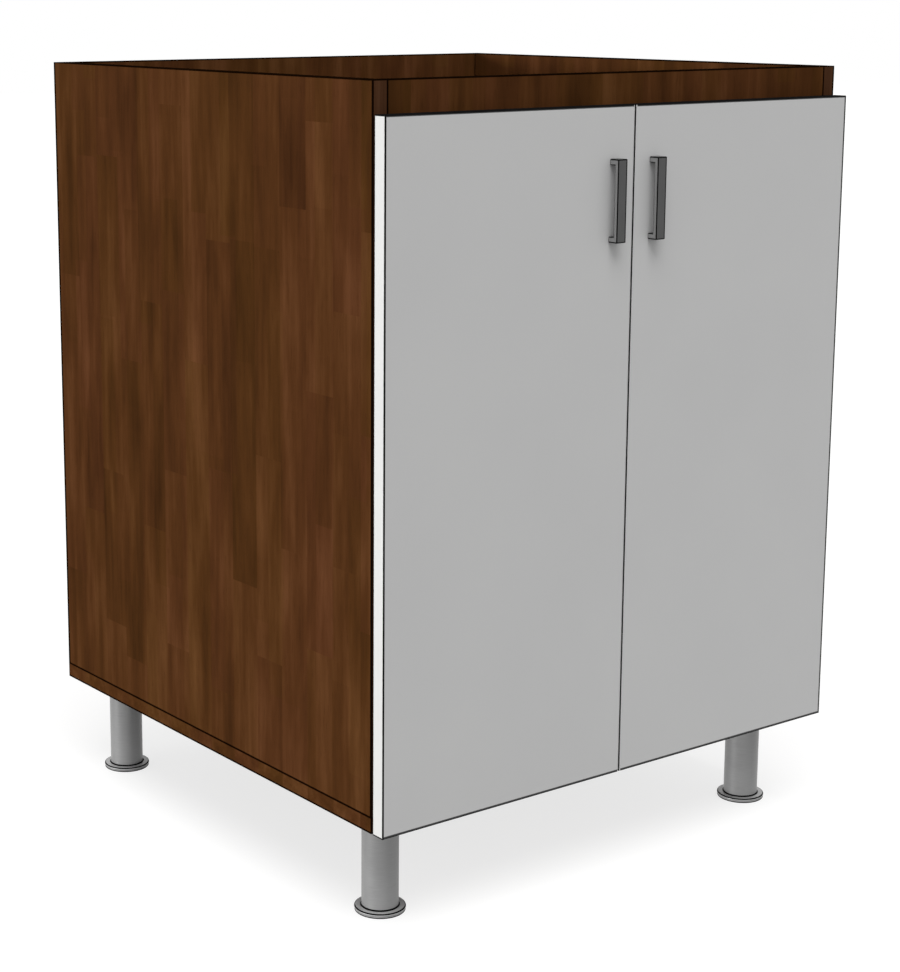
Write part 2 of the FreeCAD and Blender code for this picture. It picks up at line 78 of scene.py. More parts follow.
class Slot(Enum):
    """Material slots of the record that pieces take their finish from."""

    WALNUT_BOARD = "walnut_board"
    WALNUT_EDGE = "walnut_edge"
    DOOR_BOARD = "door_board"
    DOOR_EDGE = "door_edge"
    PULL_METAL = "pull_metal"
    BUMPER_RUBBER = "bumper_rubber"
    HINGE_METAL = "hinge_metal"
    SCREW_STEEL = "screw_steel"
    LEG_METAL = "leg_metal"
    FOOT_METAL = "foot_metal"
    LEG_FITTINGS = "leg_fittings"


class Side(Enum):
    """The two sides of the cabinet, with the sign of their x."""

    LEFT = -1
    RIGHT = 1

    @property
    def word(self) -> str:
        """Name of the side as node names spell it."""
        return self.name.lower()


class Row(Enum):
    """Front and back row of legs."""

    FRONT = "front"
    BACK = "back"


class Level(Enum):
    """Lower and upper hinge of a door."""

    LOWER = "lower"
    UPPER = "upper"


class Grain(Enum):
    """Which board axes run across the staves, along them and through the board."""

    SIDE_UPRIGHT = (1, 2, 0)
    FRONT_UPRIGHT = (0, 2, 1)
    FLOOR_ACROSS = (1, 0, 2)


def srgb(red: float, green: float, blue: float) -> Colour:
    """Turn a colour read off a screen into the linear light that shaders work in.

    Args:
        red: Red from 0 to 255.
        green: Green from 0 to 255.
        blue: Blue from 0 to 255.

    Returns:
        The linear colour with full opacity.
    """
    def linear(value: float) -> float:
        """Linear light of one channel."""
        share = value / 255
        return share / 12.92 if share <= 0.04045 else ((share + 0.055) / 1.055) ** 2.4

    return linear(red), linear(green), linear(blue), 1.0


def grey(level: float) -> Colour:
    """Neutral colour of one level from 0 to 255."""
    return srgb(level, level, level)


# ---- material nodes ------------------------------------------------------------


class NodeSheet:
    """Node tree of one material, with a short call for each kind of node in use."""

    def __init__(self, name: str) -> None:
        """Start a material that holds one surface shader.

        Args:
            name: Name of the material.
        """
        self.material = bpy.data.materials.new(name)
        self.material.use_nodes = True
        self.tree = self.material.node_tree
        self.shader = self.tree.nodes["Principled BSDF"]
        self.place = self.node("ShaderNodeTexCoord").outputs

    def node(self, kind: str, inputs: dict[int | str, Input] | None = None,
             **settings: object) -> bpy.types.Node:
        """Add a node.

        Args:
            kind: Type name of the node.
            inputs: Value or link for each input that isn't left alone.
            **settings: The node's own options.

        Returns:
            The new node.
        """
        made = self.tree.nodes.new(kind)
        for name, setting in settings.items():
            setattr(made, name, setting)
        for key, value in (inputs or {}).items():
            self.feed(made.inputs[key], value)
        return made

    def feed(self, socket: Socket, value: Input) -> None:
        """Give an input its value or its link.

        Args:
            socket: The input.
            value: A constant, or the output that drives the input.
        """
        if isinstance(value, Socket):
            self.tree.links.new(value, socket)
        else:
            socket.default_value = value

    def math(self, operation: str, *values: Input) -> Socket:
        """Combine numbers by an arithmetic operation."""
        inputs = dict(enumerate(values))
        return self.node("ShaderNodeMath", inputs, operation=operation).outputs[0]

    def vector(self, operation: str, *values: Input) -> Socket:
        """Combine vectors by an arithmetic operation."""
        inputs = dict(enumerate(values))
        return self.node("ShaderNodeVectorMath", inputs, operation=operation).outputs[0]

    def split(self, vector: Input) -> list[Socket]:
        """Take a vector apart into its three numbers."""
        return list(self.node("ShaderNodeSeparateXYZ", {0: vector}).outputs)

    def join(self, x: Input, y: Input, z: Input) -> Socket:
        """Make a vector of three numbers."""
        return self.node("ShaderNodeCombineXYZ", {0: x, 1: y, 2: z}).outputs[0]

    def noise(self, vector: Input, scale: float, detail: float = 2.0,
              roughness: float = 0.5) -> Socket:
        """Smooth noise from 0 to 1, with so many cells per metre."""
        inputs = {"Vector": vector, "Scale": scale, "Detail": detail, "Roughness": roughness}
        return self.node("ShaderNodeTexNoise", inputs).outputs[0]

    def chance(self, vector: Input) -> list[Socket]:
        """Three unrelated numbers from 0 to 1 that hold wherever the vector does."""
        return self.split(self.node("ShaderNodeTexWhiteNoise", {0: vector}).outputs[1])

    def fade(self, value: Input, start: float, end: float) -> Socket:
        """Rise evenly from 0 to 1, and no further, as a value goes from start to end."""
        inputs = {0: value, 1: start, 2: end, 3: 0.0, 4: 1.0}
        return self.node("ShaderNodeMapRange", inputs).outputs[0]

    def swing(self, value: Input, middle: float, reach: float) -> Socket:
        """Centre a value from 0 to 1 on a middle, with a reach to each side."""
        return self.math("MULTIPLY_ADD", value, 2 * reach, middle - reach)

    def blend(self, share: Input, first: Input, second: Input) -> Socket:
        """Mix two colours by the share of the second, from 0 to 1."""
        made = self.node("ShaderNodeMix", {0: share, 6: first, 7: second}, data_type="RGBA")
        return made.outputs[2]

    def stain(self, ground: Input, share: Input, strength: float, colour: Input) -> Socket:
        """Lay a colour over a ground by a share, held down to a strength."""
        return self.blend(self.math("MULTIPLY", share, strength), ground, colour)

    def turned(self, axis: int, start: float, end: float) -> Socket:
        """Fade by how far a face points along an axis, either way."""
        along = self.split(self.place["Normal"])[axis]
        return self.fade(self.math("ABSOLUTE", along), start, end)

    def stack(self, *layers: tuple[Input, float], middle: float = 0.5) -> Socket:
        """Add up layers of noise.

        Args:
            *layers: Each noise from 0 to 1, with its reach to each side.
            middle: Result where every noise is a half.

        Returns:
            The sum.
        """
        (first, reach), *others = layers
        value = self.swing(first, middle, reach)
        for noise, reach in others:
            value = self.math("ADD", value, self.swing(noise, 0.0, reach))
        return value

    def ramp(self, value: Input, colours: Sequence[Colour]) -> Socket:
        """Read a colour off an even scale of colours.

        Args:
            value: Place on the scale, from 0 to 1.
            colours: The colours from 0 to 1.

        Returns:
            The colour.
        """
        made = self.node("ShaderNodeValToRGB", {0: value})
        scale = made.color_ramp.elements
        while len(scale) < len(colours):
            scale.new(1.0)
        for index, colour in enumerate(colours):
            scale[index].position = index / (len(colours) - 1)
            scale[index].color = colour
        return made.outputs[0]

    def finish(self, colour: Input, roughness: Input, height: Input,
               relief: float, **constants: float) -> Material:
        """Wire the shader.

        Args:
            colour: Base colour.
            roughness: Roughness.
            height: Surface height from 0 to 1.
            relief: Depth of that height, in metres.
            **constants: Other inputs of the shader, with _ for spaces.

        Returns:
            The finished material.
        """
        bump = self.node("ShaderNodeBump", {"Height": height, "Distance": relief})
        inputs = {"Base Color": colour, "Roughness": roughness,
                  "Normal": bump.outputs[0]}
        inputs.update((key.replace("_", " "), value) for key, value in constants.items())
        for key, value in inputs.items():
            self.feed(self.shader.inputs[key], value)
        return self.material


def arris(sheet: NodeSheet, low: Point, high: Point, width: float) -> Socket:
    """Narrow line along every arris of a square-cut board.

    Args:
        sheet: Material that the line is for.
        low: Lowest corner of the board.
        high: Highest corner of the board.
        width: Width of the line on each face, in metres.

    Returns:
        1 on the arris, falling to 0 at the line's width.
    """
    middle = (Vector(low) + Vector(high)) / 2
    half = (Vector(high) - Vector(low)) / 2
    away = sheet.vector("SUBTRACT", sheet.place["Object"], tuple(middle))
    inside = sheet.vector("SUBTRACT", tuple(half), sheet.vector("ABSOLUTE", away))
    x, y, z = sheet.split(inside)
    second = sheet.math("MAXIMUM", sheet.math("MINIMUM", x, y),
                        sheet.math("MINIMUM", sheet.math("MAXIMUM", x, y), z))
    return sheet.fade(second, width, width * SOLID_LINE)


# ---- finishes ------------------------------------------------------------------


class Finish(ABC):
    """A surface that a maker would order by name."""

    slot: Slot

    @abstractmethod
    def material(self) -> Material:
        """Build the node material of the finish."""


YELLOW_WALNUT = (srgb(53, 33, 14), srgb(78, 49, 22), srgb(103, 69, 37))
RED_WALNUT = (srgb(57, 32, 17), srgb(84, 50, 28), srgb(109, 69, 44))
BAND_WALNUT = (srgb(60, 38, 24), srgb(74, 48, 32), srgb(87, 59, 41))
WALNUT_PORE, WALNUT_LINE = srgb(38, 20, 8), srgb(8, 3, 1)
# Cut edges are dark; those that face up are painted near black, darker than the other cut
# edges.
SEALED_EDGE, UPWARD_EDGE_BLACK = srgb(47, 27, 15), srgb(9, 5, 2)
# Painted shade: the door front's light grey stands for shade on a door that is white like its
# band.
SHADED_LAMINATE_GREY, LAMINATE_CORE = (grey(197), grey(201), srgb(205, 205, 204)), grey(14)
# The band's black is painted shade on its top and bottom edges and in the gap between the
# doors, and also the colour of its arris lines.
BAND_WHITE, BAND_SHADE_AND_LINE_BLACK = (srgb(230, 230, 228), srgb(236, 236, 235)), (grey(8), grey(18))
# Painted shade: the white band's lip at the gap between the doors is grey like the door
# front.
BAND_LIP_SHADE = grey(200)
PULL_RIM = grey(10)
FLOOR_GREY = (srgb(147, 147, 146), grey(151))
WHITE = (1.0, 1.0, 1.0, 1.0)


@dataclass(frozen=True)
class Figure:
    """One layer of the wood's figure: noise drawn out along the grain."""

    shrink: float
    scale: float
    detail: float
    reach: float
    roughness: float = 0.55


@dataclass(frozen=True)
class WalnutBoard(Finish):
    """Matt walnut-grain facing in staves, with a dark line along every arris."""

    low: Point
    high: Point
    grain: Grain
    seal: float = 0.94
    # Painted light: raises or lowers the board's whole tone, for a board that lies in more or
    # less shade.
    lift: float = 0.0
    slot: Slot = Slot.WALNUT_BOARD
    stave: float = 0.043
    second_stave: float = 0.62
    shortest: float = 0.16
    longest: float = 0.48
    seeds: tuple[float, float] = (3.0, 11.0)
    seed_step: float = 4.0
    start_spread: float = 9.0
    lane_spread: float = 5.0
    slant: float = 0.02
    tints: tuple[float, float] = (0.11, 0.05)
    warmths: tuple[float, float] = (0.3, 0.2)
    flame: Figure = Figure(0.28, 26.0, 3.0, 0.42)
    band: Figure = Figure(0.10, 62.0, 2.5, 0.36)
    broad: Figure = Figure(0.10, 52.0, 2.5, 0.26)
    streak: Figure = Figure(0.05, 190.0, 3.0, 0.15)
    pore: Figure = Figure(0.05, 1300.0, 1.0, 0.25)
    pore_edge: tuple[float, float] = (0.60, 0.74)
    streak_relief: float = 0.5
    line: float = 0.0013
    line_strength: float = 0.96
    roughness: float = 0.60
    uneven: float = 0.10
    relief: float = 0.00006

    def material(self) -> Material:
        """Build the walnut: staves, soft streaks, pores and a dark arris.

        Returns:
            The node material.
        """
        sheet = NodeSheet("walnut")
        axes = sheet.split(sheet.place["Object"])
        across, along, through = (axes[index] for index in self.grain.value)

        def blocks(width: float, seed: float) -> list[Socket]:
            """Draw chance numbers that change from block to block of glued staves.

            Args:
                width: Width of a stave, in metres.
                seed: Number that sets these staves apart from others.

            Returns:
                Three numbers from 0 to 1 for the block.
            """
            stave = sheet.math("FLOOR", sheet.math("DIVIDE", across, width))
            habit = sheet.chance(sheet.join(stave, seed, 1.0))
            length = sheet.swing(habit[0], (self.shortest + self.longest) / 2,
                                 (self.longest - self.shortest) / 2)
            start = sheet.math("MULTIPLY", habit[1], self.start_spread)
            block = sheet.math("FLOOR", sheet.math("ADD", sheet.math("DIVIDE", along, length),
                                                   start))
            return sheet.chance(sheet.join(stave, block, seed + self.seed_step))

        second_width = self.stave * self.second_stave
        tint, warmth, shift = blocks(self.stave, self.seeds[0])
        second_tint, second_warmth, _ = blocks(second_width, self.seeds[1])
        offset = sheet.math("MULTIPLY", shift, self.lane_spread)
        slant = sheet.math("MULTIPLY", sheet.swing(warmth, 0.0, self.slant), along)
        lane = sheet.math("ADD", sheet.math("ADD", across, slant), offset)

        def lengthwise(start: Input, figure: Figure) -> Socket:
            """Noise of one layer of figure, read across the grain from start."""
            drawn = sheet.join(start, sheet.math("MULTIPLY", along, figure.shrink), through)
            return sheet.noise(drawn, figure.scale, figure.detail, figure.roughness)

        flame, band = lengthwise(across, self.flame), lengthwise(across, self.band)
        broad, streak = lengthwise(lane, self.broad), lengthwise(lane, self.streak)
        pores = sheet.fade(lengthwise(lane, self.pore), *self.pore_edge)

        value = sheet.stack((tint, self.tints[0]), (second_tint, self.tints[1]),
                            (flame, self.flame.reach), (band, self.band.reach),
                            (broad, self.broad.reach), (streak, self.streak.reach),
                            middle=0.5 + self.lift)
        hue = sheet.stack((warmth, self.warmths[0]), (second_warmth, self.warmths[1]))
        wood = sheet.blend(hue, sheet.ramp(value, YELLOW_WALNUT),
                           sheet.ramp(value, RED_WALNUT))
        wood = sheet.stain(wood, pores, self.pore.reach, WALNUT_PORE)
        sealed = sheet.turned(self.grain.value[2], *reversed(HALF_TURNED))
        # Cut edges that face up are painted near black.
        upward = sheet.fade(sheet.split(sheet.place["Normal"])[2], *MOSTLY_TURNED)
        cut_edge = sheet.blend(upward, SEALED_EDGE, UPWARD_EDGE_BLACK)
        wood = sheet.stain(wood, sealed, self.seal, cut_edge)
        edge = arris(sheet, self.low, self.high, self.line)
        wood = sheet.stain(wood, edge, self.line_strength, WALNUT_LINE)

        raised = sheet.math("MULTIPLY", streak, self.streak_relief)
        height = sheet.math("SUBTRACT", raised, pores)
        dark = sheet.math("MULTIPLY", sheet.math("MAXIMUM", edge, sealed), DULL_LINE)
        dull = sheet.math("MAXIMUM", sheet.swing(streak, self.roughness, self.uneven), dark)
        return sheet.finish(wood, dull, height, self.relief, Specular_IOR_Level=0.0)


@dataclass(frozen=True)
class WalnutBand(Finish):
    """Plain dark walnut edge band, grained along its length."""

    low: Point
    high: Point
    slot: Slot = Slot.WALNUT_EDGE
    drawn_out: float = 0.04
    grain: Texture = (420.0, 3.0, 0.6)
    cloud: Texture = (90.0,)
    line: float = 0.0012
    line_strength: float = 0.96
    roughness: float = 0.62
    uneven: float = 0.10
    relief: float = 0.00004

    def material(self) -> Material:
        """Build the band: fine lengthwise grain and dark long edges.

        Returns:
            The node material.
        """
        sheet = NodeSheet("walnut_band")
        size = Vector(self.high) - Vector(self.low)
        stretch = tuple(self.drawn_out if length == max(size) else 1.0 for length in size)
        where = sheet.vector("MULTIPLY", sheet.place["Object"], stretch)
        grain = sheet.noise(where, *self.grain)
        cloud = sheet.noise(where, *self.cloud)
        wood = sheet.ramp(sheet.stack((grain, 0.5), (cloud, 0.5)), BAND_WALNUT)
        edge = arris(sheet, self.low, self.high, self.line)
        wood = sheet.stain(wood, edge, self.line_strength, WALNUT_LINE)
        return sheet.finish(wood, sheet.swing(grain, self.roughness, self.uneven), grain,
                            self.relief, Specular_IOR_Level=0.0)


@dataclass(frozen=True)
class DoorLaminate(Finish):
    """Satin laminate of the door front, light grey as painted shade on a door that is white
    like its band, with the dark core showing as a thin line at its rim.
    """

    low: Point
    high: Point
    slot: Slot = Slot.DOOR_BOARD
    pebble: Texture = (1500.0, 2.0)
    cloud: Texture = (7.0, 3.0)
    wipe: Texture = (38.0, 4.0, 0.6)
    line: float = 0.0011
    line_strength: float = 0.97
    roughness: float = 0.46
    uneven: float = 0.07
    relief: float = 0.000015

    def material(self) -> Material:
        """Build the laminate: pebbled skin, faint clouding, a grey that is painted shade, and
        a dark rim.

        Returns:
            The node material.
        """
        sheet = NodeSheet("door_laminate")
        where = sheet.place["Object"]
        pebble = sheet.noise(where, *self.pebble)
        cloud = sheet.noise(where, *self.cloud)
        wipe = sheet.noise(where, *self.wipe)
        # Painted shade: the grey ramp darkens the front of the white door.
        face = sheet.ramp(sheet.stack((cloud, 0.35), (pebble, 0.25)), SHADED_LAMINATE_GREY)
        rim = arris(sheet, self.low, self.high, self.line)
        face = sheet.stain(face, rim, self.line_strength, LAMINATE_CORE)
        return sheet.finish(face, sheet.swing(wipe, self.roughness, self.uneven), pebble,
                            self.relief, Specular_IOR_Level=0.3)


@dataclass(frozen=True)
class DoorBand(Finish):
    """White edge band, black along the arrises, with painted shade: black top and bottom
    edges, and a dark meeting edge with a grey lip at the gap between the doors.
    """

    low: Point
    high: Point
    slot: Slot = Slot.DOOR_EDGE
    skin: Texture = (900.0, 2.0)
    cloud: Texture = (25.0,)
    line: float = 0.0016
    # Width of the meeting edge's front lip, which is painted grey as shade.
    lip: float = 0.0004
    # Depth from the face of the painted shade on the meeting edge, in the gap between the
    # doors.
    gap_shade_depth: float = 0.0020
    gap_reach: float = 0.0021
    roughness: float = 0.42
    uneven: float = 0.08
    relief: float = 0.00002

    def material(self) -> Material:
        """Build the band: white flats, dark arrises, and painted shade on the black top and
        bottom edges, the dark gap line and the grey lip.

        Returns:
            The node material.
        """
        sheet = NodeSheet("door_band")
        where = sheet.place["Object"]
        skin = sheet.noise(where, *self.skin)
        cloud = sheet.noise(where, *self.cloud)
        white = sheet.ramp(cloud, BAND_WHITE)
        x, y, _ = sheet.split(where)
        # Painted shadow: the top and bottom edges are black for the shade in the gaps above
        # and below the door.
        shaded_ends = sheet.turned(2, *HALF_TURNED)
        from_face = sheet.math("SUBTRACT", y, self.low[1])
        # Painted shade in the gap between the doors: the meeting edge is dark near the face,
        # and its front lip is grey like the shaded door front.
        at_gap = sheet.math("LESS_THAN", sheet.math("ABSOLUTE", x), self.gap_reach)
        shaded_lip = sheet.math("MULTIPLY", at_gap, sheet.math("LESS_THAN", from_face, self.lip))
        gap_shade = sheet.math("MULTIPLY", at_gap,
                             sheet.math("LESS_THAN", from_face, self.gap_shade_depth))
        lines = sheet.math("MAXIMUM", arris(sheet, self.low, self.high, self.line), gap_shade)
        lines = sheet.math("MULTIPLY", lines, sheet.math("SUBTRACT", 1.0, shaded_lip))
        # Painted shade at the top and bottom edges and in the gap, together with the dark
        # arris lines.
        black = sheet.math("MAXIMUM", shaded_ends, lines)
        white = sheet.blend(shaded_lip, white, BAND_LIP_SHADE)
        white = sheet.blend(black, white, sheet.ramp(skin, BAND_SHADE_AND_LINE_BLACK))
        dull = sheet.math("MAXIMUM", sheet.swing(skin, self.roughness, self.uneven),
                          sheet.math("MULTIPLY", black, DULL_LINE))
        return sheet.finish(white, dull, skin, self.relief, Specular_IOR_Level=0.02)


@dataclass(frozen=True)
class CoatedMetal(Finish):
    """Powder coat or satin paint on metal."""

    slot: Slot
    dark: Colour
    light: Colour
    # Paler colour for faces turned to either side in x: painted light on the sides.
    lit_flank: Colour | None = None
    rim: tuple[Point, Point] | None = None
    peel: Texture = (1700.0, 2.0)
    rub: Texture = (60.0, 4.0, 0.6)
    line: float = 0.8 * MM
    gloss: float = 0.3
    roughness: float = 0.45
    uneven: float = 0.12
    relief: float = 0.00003

    def material(self) -> Material:
        """Build the coat: orange-peel skin, faint rubbed patches and, where given, sides
        painted paler as painted light.

        Returns:
            The node material.
        """
        sheet = NodeSheet(self.slot.value)
        where = sheet.place["Object"]
        peel = sheet.noise(where, *self.peel)
        rub = sheet.noise(where, *self.rub)
        coat = sheet.ramp(sheet.stack((rub, 0.5), (peel, 0.25)), (self.dark, self.light))
        # Painted light: faces turned to either side in x take the paler colour.
        if self.lit_flank is not None:
            coat = sheet.blend(sheet.turned(0, *MOSTLY_TURNED), coat, self.lit_flank)
        if self.rim is not None:
            coat = sheet.blend(arris(sheet, *self.rim, self.line), coat, PULL_RIM)
        return sheet.finish(coat, sheet.swing(rub, self.roughness, self.uneven), peel,
                            self.relief, Specular_IOR_Level=self.gloss)


@dataclass(frozen=True)
class WorkedMetal(Finish):
    """Plated or brushed steel with fine marks in one direction."""

    slot: Slot
    dark: Colour
    light: Colour
    stretch: Point = (1.0, 1.0, 1.0)
    brush: Texture = (1400.0, 2.0, 0.6)
    patch: Texture = (55.0, 3.0)
    roughness: float = 0.35
    uneven: float = 0.12
    metal: float = 1.0
    relief: float = 0.00002

    def material(self) -> Material:
        """Build the metal: brush marks, dull patches and slight tarnish.

        Returns:
            The node material.
        """
        sheet = NodeSheet(self.slot.value)
        where = sheet.vector("MULTIPLY", sheet.place["Object"], self.stretch)
        brush = sheet.noise(where, *self.brush)
        patch = sheet.noise(sheet.place["Object"], *self.patch)
        steel = sheet.ramp(sheet.stack((brush, 0.5), (patch, 0.4)), (self.dark, self.light))
        return sheet.finish(steel, sheet.swing(patch, self.roughness, self.uneven), brush,
                            self.relief, Metallic=self.metal)


@dataclass(frozen=True)
class SoftPlastic(Finish):
    """Rubber pad or clear soft buffer."""

    slot: Slot
    dark: Colour
    light: Colour
    skin: Texture = (1100.0, 3.0)
    dust: Texture = (160.0, 3.0)
    roughness: float = 0.6
    uneven: float = 0.1
    clear: float = 0.0
    gloss: float = 0.25
    relief: float = 0.00003

    def material(self) -> Material:
        """Build the plastic: dusty, slightly uneven skin.

        Returns:
            The node material.
        """
        sheet = NodeSheet(self.slot.value + "_soft")
        where = sheet.place["Object"]
        skin = sheet.noise(where, *self.skin)
        dust = sheet.noise(where, *self.dust)
        colour = sheet.ramp(dust, (self.dark, self.light))
        return sheet.finish(colour, sheet.swing(skin, self.roughness, self.uneven), skin,
                            self.relief, Transmission_Weight=self.clear,
                            Specular_IOR_Level=self.gloss)


LEG_STEEL = WorkedMetal(Slot.LEG_METAL, grey(142), grey(156),
                        stretch=(0.05, 0.05, 1.0), roughness=0.42, metal=0.2)
FOOT_STEEL = WorkedMetal(Slot.FOOT_METAL, grey(168), grey(184), roughness=0.4, metal=0.2)
# Near black: the disc's upper rim line, and painted shade where the tube stands on the disc,
# in the groove and on the tube's lower end.
DARK_EDGE_AND_SHADE = CoatedMetal(Slot.FOOT_METAL, grey(10), grey(18), gloss=0.02)
FITTING_STEEL = WorkedMetal(Slot.LEG_FITTINGS, srgb(140, 140, 136), srgb(168, 168, 164))
HINGE_NICKEL = WorkedMetal(Slot.HINGE_METAL, srgb(168, 166, 160), srgb(196, 194, 188),
                           stretch=(1.0, 0.08, 1.0), roughness=0.34, metal=0.6)
SCREW_ZINC = WorkedMetal(Slot.SCREW_STEEL, srgb(160, 160, 156), srgb(190, 190, 186),
                         roughness=0.32, metal=0.75)
# The pull's sides are painted paler: painted light.
PULL_COAT = CoatedMetal(Slot.PULL_METAL, grey(78), grey(90), lit_flank=grey(146), gloss=0.2)
PULL_EDGE = CoatedMetal(Slot.PULL_METAL, grey(10), grey(16), gloss=0.02)
FOOT_RUBBER = SoftPlastic(Slot.FOOT_METAL, grey(8), grey(16), roughness=0.85, gloss=0.02)
BUFFER = SoftPlastic(Slot.BUMPER_RUBBER, srgb(208, 210, 208), srgb(226, 227, 224),
                     roughness=0.3, clear=0.35)


# ---- meshes --------------------------------------------------------------------


def new_mesh(name: str, shape: Shape, smooth_below: float = 35.0) -> Mesh:
    """Turn a built shape into a mesh with smooth rounds and crisp corners.

    Args:
        name: Name of the mesh.
        shape: The built shape, freed here.
        smooth_below: Angle in degrees under which two faces shade as one.

    Returns:
        The mesh.
    """
    bmesh.ops.recalc_face_normals(shape, faces=shape.faces)
    for face in shape.faces:
        face.smooth = True
    for edge in shape.edges:
        edge.smooth = (len(edge.link_faces) == 2
                       and edge.calc_face_angle() < math.radians(smooth_below))
    mesh = bpy.data.meshes.new(name)
    shape.to_mesh(mesh)
    shape.free()
    return mesh


def lathe(profile: Sequence[tuple[float, float]], segments: int = 96,
          ring: bool = False) -> Shape:
    """Turn a profile of radius and height about the z axis.

    Args:
        profile: Radius and height of each point, in metres.
        segments: Number of steps round the axis.
        ring: Whether the last point joins the first.

    Returns:
        The turned shape.
    """
    shape = bmesh.new()
    turns = [2 * math.pi * step / segments for step in range(segments)]
    rings = []
    for radius, height in profile:
        count = turns if radius > 0 else turns[:1]
        rings.append([shape.verts.new((radius * math.cos(t), radius * math.sin(t), height))
                      for t in count])
    for below, above in zip(rings, rings[1:] + (rings[:1] if ring else [])):
        for step in range(segments):
            after = (step + 1) % segments
            corners = [below[step % len(below)], below[after % len(below)],
                       above[after % len(above)], above[step % len(above)]]
            unique = list(dict.fromkeys(corners))
            if len(unique) > 2:
                shape.faces.new(unique)
    return shape


def prism(outline: Sequence[tuple[float, float]], depth: float) -> Shape:
    """Grow an outline in x and y evenly to both sides of z = 0.

    Args:
        outline: Corners of the outline, in metres.
        depth: Whole depth in z.

    Returns:
        The shape.
    """
    shape = bmesh.new()
    bottom = shape.faces.new([shape.verts.new((x, y, -depth / 2)) for x, y in outline])
    grown = bmesh.ops.extrude_face_region(shape, geom=[bottom])
    moved = [item for item in grown["geom"] if isinstance(item, bmesh.types.BMVert)]
    bmesh.ops.translate(shape, verts=moved, vec=(0.0, 0.0, depth))
    return shape


def merge(parts: Iterable[tuple[Mesh, Matrix]]) -> Shape:
    """Put placed meshes into one shape.

    Args:
        parts: Each mesh with its place.

    Returns:
        The shape that holds them all.
    """
    shape = bmesh.new()
    for mesh, place in parts:
        first = len(shape.verts)
        shape.from_mesh(mesh)
        shape.verts.ensure_lookup_table()
        bmesh.ops.transform(shape, matrix=place, verts=shape.verts[first:])
    return shape


def carve(base: Mesh, tool: Mesh) -> Mesh:
    """Cut one mesh out of another.

    Args:
        base: Mesh that is cut.
        tool: Mesh of the room to clear.

    Returns:
        The cut mesh.
    """
    body = bpy.data.objects.new("carved", base)
    cutter = bpy.data.objects.new("cutter", tool)
    for item in (body, cutter):
        bpy.context.scene.collection.objects.link(item)
    step = body.modifiers.new("cut", "BOOLEAN")
    step.object = cutter
    step.operation = "DIFFERENCE"
    step.solver = "EXACT"
    bpy.context.view_layer.update()
    result = bpy.data.meshes.new_from_object(
        body.evaluated_get(bpy.context.evaluated_depsgraph_get()))
    for item in (body, cutter):
        bpy.data.objects.remove(item)
    return result


def facing(direction: Point, at: Point, roll: float = 0.0) -> Matrix:
    """Place that turns a piece's z axis to a direction, rolled by some degrees."""
    turn = Vector(direction).to_track_quat("Z", "Y").to_matrix().to_4x4()
    return Matrix.Translation(at) @ turn @ Matrix.Rotation(math.radians(roll), 4, "Z")


def show(name: str, mesh: Mesh, body: str, finish: Finish,
         trim: Finish | None = None) -> bpy.types.Object:
    """Put a mesh in the scene as a piece of the cabinet.

    Args:
        name: Name of the piece.
        mesh: Its mesh, in the cabinet's own frame.
        body: Moving body that it rides on.
        finish: Its finish.
        trim: Finish of its second material, where it has one.

    Returns:
        The new piece.
    """
    piece = bpy.data.objects.new(name, mesh)
    bpy.context.scene.collection.objects.link(piece)
    for coat in filter(None, (finish, trim)):
        mesh.materials.append(coat.material())
    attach(piece, body)
    log.info("piece %s on %s: %d faces", name, body, len(mesh.polygons))
    return piece


def dress(node: str, finish: Finish) -> None:
    """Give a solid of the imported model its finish.

    Args:
        node: Name of the solid.
        finish: The finish.
    """
    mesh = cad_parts[node].data
    mesh.materials.clear()
    mesh.materials.append(finish.material())
    log.info("dressed %s in %s", node, finish.slot.value)


def corners(node: str) -> tuple[Point, Point]:
    """Lowest and highest corner of a solid as plain numbers."""
    low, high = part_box(node)
    return tuple(low), tuple(high)


def drawn_in(node: str, low: Point = (0.0, 0.0, 0.0),
             high: Point = (0.0, 0.0, 0.0)) -> tuple[Point, Point]:
    """Box of a solid with its corners moved in, which widens its arris line."""
    lowest, highest = corners(node)
    return tuple(Vector(lowest) + Vector(low)), tuple(Vector(highest) - Vector(high))


# Outline of a screw head from seat to crown, as shares of its radius and height.
DOME = ((0.0, 0.0), (1.0, 0.0), (1.0, 0.35), (0.93, 0.68), (0.74, 0.9), (0.42, 0.985),
        (0.0, 1.0))


@dataclass(frozen=True)
class CrossScrew:
    """Head of a cross-recessed screw, seated on z = 0 with its top towards +z."""

    radius: float
    height: float
    recess: float = 0.6
    blade: float = 0.22
    segments: int = 28

    def mesh(self) -> Mesh:
        """Build the head with its recess.

        Returns:
            The mesh of the head.
        """
        wide, high = self.radius, self.height
        dome = lathe([(wide * out, high * up) for out, up in DOME], self.segments)
        reach, half = wide * self.recess, wide * self.blade / 2
        arms = prism([(-reach, -half), (-half, -half), (-half, -reach), (half, -reach),
                      (half, -half), (reach, -half), (reach, half), (half, half),
                      (half, reach), (-half, reach), (-half, half), (-reach, half)],
                     high)
        bmesh.ops.translate(arms, verts=arms.verts, vec=(0.0, 0.0, high))
        return carve(new_mesh("screw_head", dome), new_mesh("screw_recess", arms))

    def row(self, name: str, places: Iterable[Matrix], body: str) -> bpy.types.Object:
        """Set copies of the head at several places.

        Args:
            name: Name of the piece that holds them.
            places: Place of each head.
            body: Moving body that they ride on.

        Returns:
            The new piece.
        """
        head = self.mesh()
        mesh = new_mesh(name, merge((head, place) for place in places))
        return show(name, mesh, body, SCREW_ZINC)


# ---- carcass -------------------------------------------------------------------


